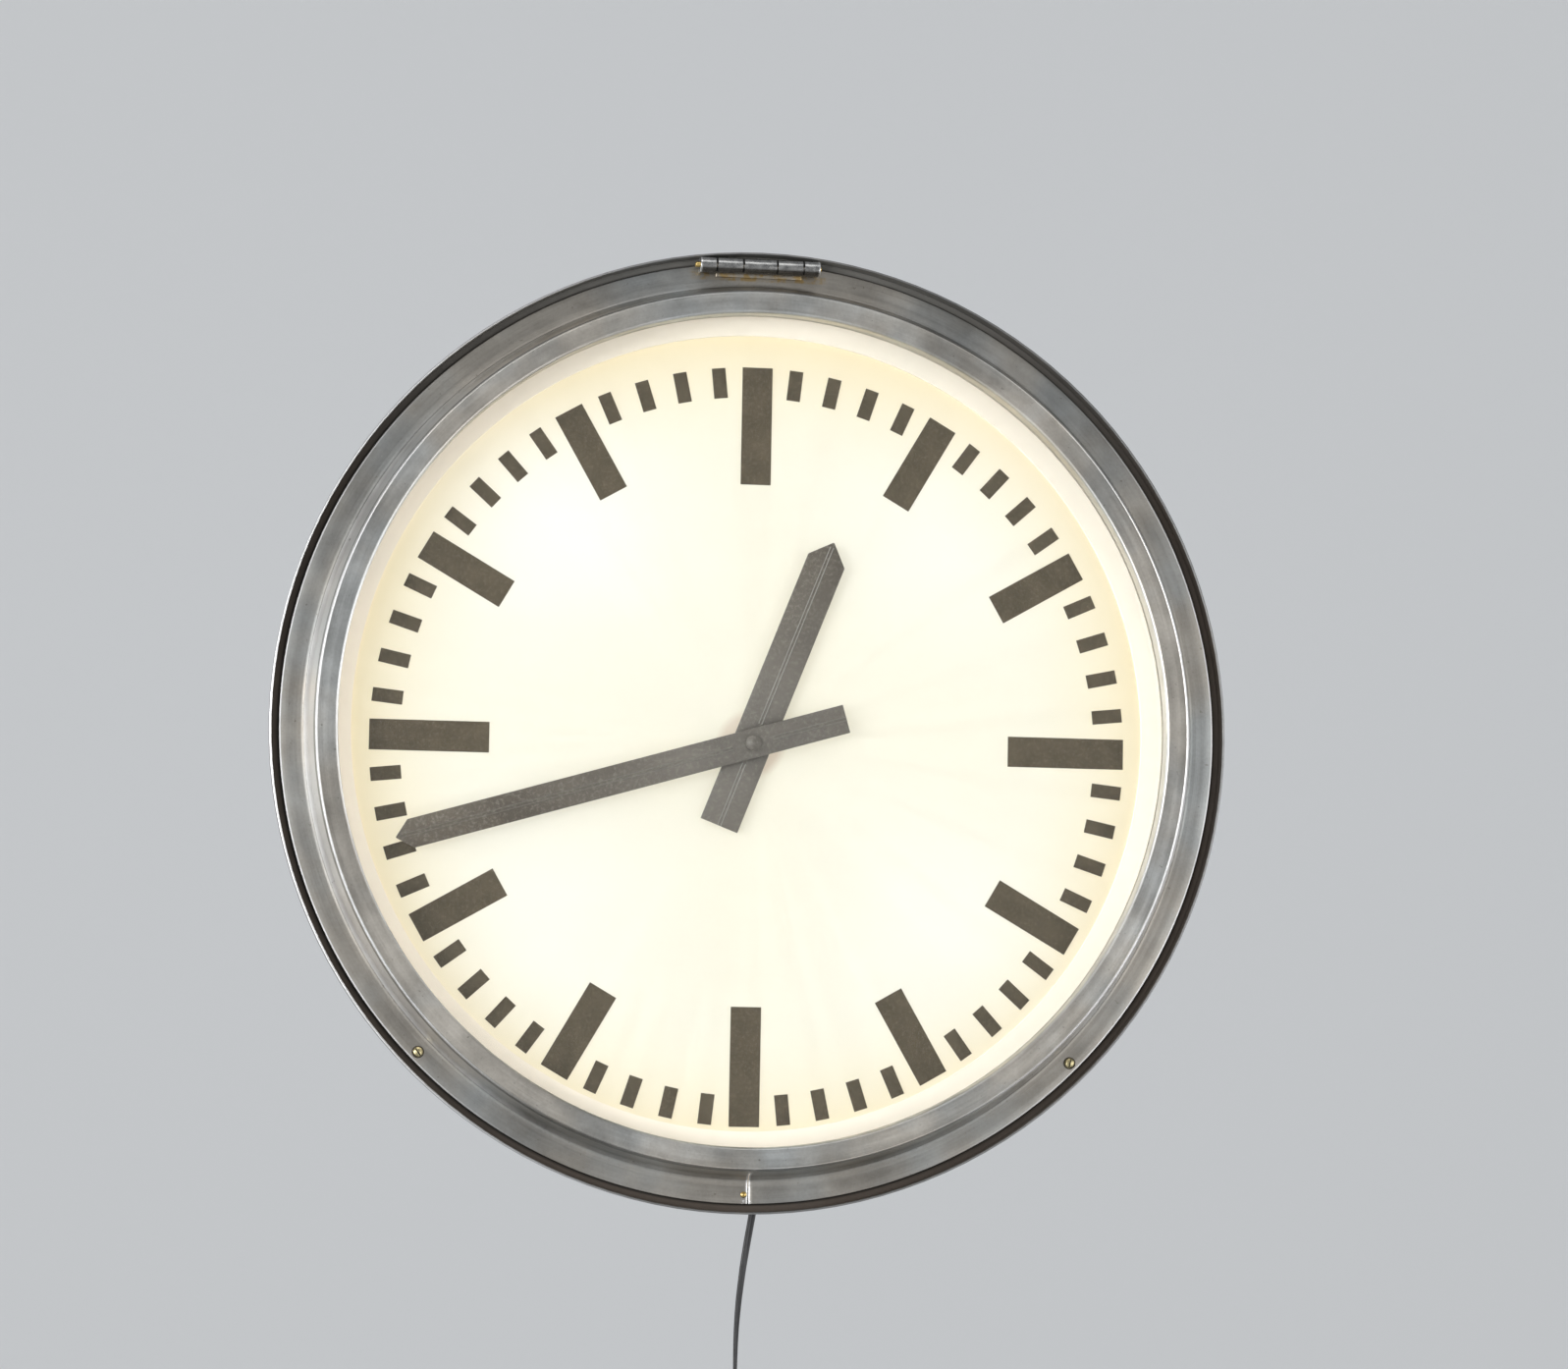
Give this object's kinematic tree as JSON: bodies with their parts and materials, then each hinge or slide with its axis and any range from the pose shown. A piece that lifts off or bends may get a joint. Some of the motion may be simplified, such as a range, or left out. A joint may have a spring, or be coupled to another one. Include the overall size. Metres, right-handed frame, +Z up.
{
  "type": "station clock",
  "caption": "Round wall-hung station clock with a lit opal dial, bar marks, black baton hands and a glazed metal door hinged at the top.",
  "frame": {"origin": "centre of the drum's back face, where it lies against the wall", "axes": "+X to the viewer's right, +Y into the wall, +Z up"},
  "size_m": [0.63, 0.152, 0.9015],
  "materials": {
    "case_steel": "satin zinc-plated sheet, lightly weathered",
    "door_steel": "spun sheet with a fine circumferential grain, dulled by weather",
    "hinge_steel": "bright drawn steel, lightly worn",
    "bright_steel": "turned and bright plated",
    "brass": "turned brass with a light tarnish",
    "seal_rubber": "matt moulded rubber",
    "white_enamel": "satin white stove enamel",
    "opal": "satin opal acrylic, lit from behind by four lamps",
    "mark_black": "matt black",
    "hand_black": "matt black enamel",
    "flex_black": "soft black PVC twin flex",
    "plug_black": "moulded black PVC",
    "wire_white": "white insulated wire",
    "wire_red": "red insulated wire",
    "ceramic": "white glazed porcelain",
    "box_plastic": "grey moulded plastic",
    "bulb_glass": "pearl inside-frosted glass",
    "core_iron": "dark laminated iron",
    "bobbin_white": "natural nylon",
    "copper_tape": "varnished copper winding under tape",
    "clear_glass": "clear float glass"
  },
  "bodies": {
    "case": {"case_drum": "case_steel", "door_seal": "seal_rubber", "lock_brackets": "case_steel", "dial_brackets": "case_steel", "dial_spacers": "bright_steel", "dial_ring": "white_enamel", "dial_screws": "bright_steel", "opal_dial": "opal", "dial_marks": "mark_black", "hinge_case_leaf": "hinge_steel", "hinge_pin": "brass", "cable_grommet": "seal_rubber", "inlet_lead": "flex_black", "terminal_block": "ceramic", "terminal_screws": "brass", "driver_box": "box_plastic", "driver_cover": "box_plastic", "base_nuts": "bright_steel", "lamp_brackets": "case_steel", "lampholders": "ceramic", "holder_nuts": "brass", "bulb_globes": "bulb_glass", "bulb_caps": "bright_steel", "lamp_wires": "wire_white", "coil_wires": "wire_red", "movement_rails": "case_steel", "rear_plate": "brass", "front_plate": "brass", "plate_pillars": "bright_steel", "plate_nuts": "bright_steel", "plate_bushes": "brass", "stator": "core_iron", "coil_bobbin": "bobbin_white", "coil_winding": "copper_tape", "motion_bridge": "brass", "bridge_pillars": "bright_steel", "cord": "flex_black", "cord_coil": "flex_black", "cord_tie": "plug_black", "plug": "plug_black"},
    "door": {"door_ring": "door_steel", "hinge_door_leaf": "hinge_steel", "door_glass": "clear_glass", "glass_seal": "seal_rubber", "glass_clips": "case_steel", "lock_screws": "brass", "ring_joint_plate": "case_steel", "joint_rivet": "brass"},
    "minute": {"minute_arbor": "bright_steel", "centre_wheel": "brass", "cannon_pinion": "bright_steel", "minute_hand": "hand_black", "minute_hub": "bright_steel", "hand_nut": "hand_black"},
    "hour": {"hour_wheel": "brass", "hour_hub": "bright_steel", "hour_hand": "hand_black"},
    "motion": {"motion_wheel": "brass"},
    "third": {"third_wheel": "brass"},
    "rotor": {"rotor": "core_iron"}
  },
  "joints": [
    {"name": "door_hinge", "type": "hinge", "parent": "case", "child": "door", "pos_m": [-0.002, -0.1325, 0.3054], "axis": [-1, 0, 0], "range_deg": [0, 100]},
    {"name": "minute_spin", "type": "hinge", "parent": "case", "child": "minute", "pos_m": [0, -0.1, -0.009], "axis": [0, 1, 0], "continuous": true},
    {"name": "hour_spin", "type": "hinge", "parent": "case", "child": "hour", "pos_m": [0, -0.1, -0.009], "axis": [0, 1, 0], "continuous": true},
    {"name": "motion_spin", "type": "hinge", "parent": "case", "child": "motion", "pos_m": [-0.024, -0.09, -0.009], "axis": [0, 1, 0], "continuous": true},
    {"name": "third_spin", "type": "hinge", "parent": "case", "child": "third", "pos_m": [0, -0.065, 0.009], "axis": [0, 1, 0], "continuous": true},
    {"name": "rotor_spin", "type": "hinge", "parent": "case", "child": "rotor", "pos_m": [0, -0.065, 0.0265], "axis": [0, 1, 0], "continuous": true}
  ],
  "couplings": [
    {"joint": "hour_spin", "follows": "minute_spin", "ratio": 0.083333},
    {"joint": "motion_spin", "follows": "minute_spin", "ratio": -0.33333},
    {"joint": "third_spin", "follows": "minute_spin", "ratio": -5},
    {"joint": "rotor_spin", "follows": "minute_spin", "ratio": 30}
  ]
}
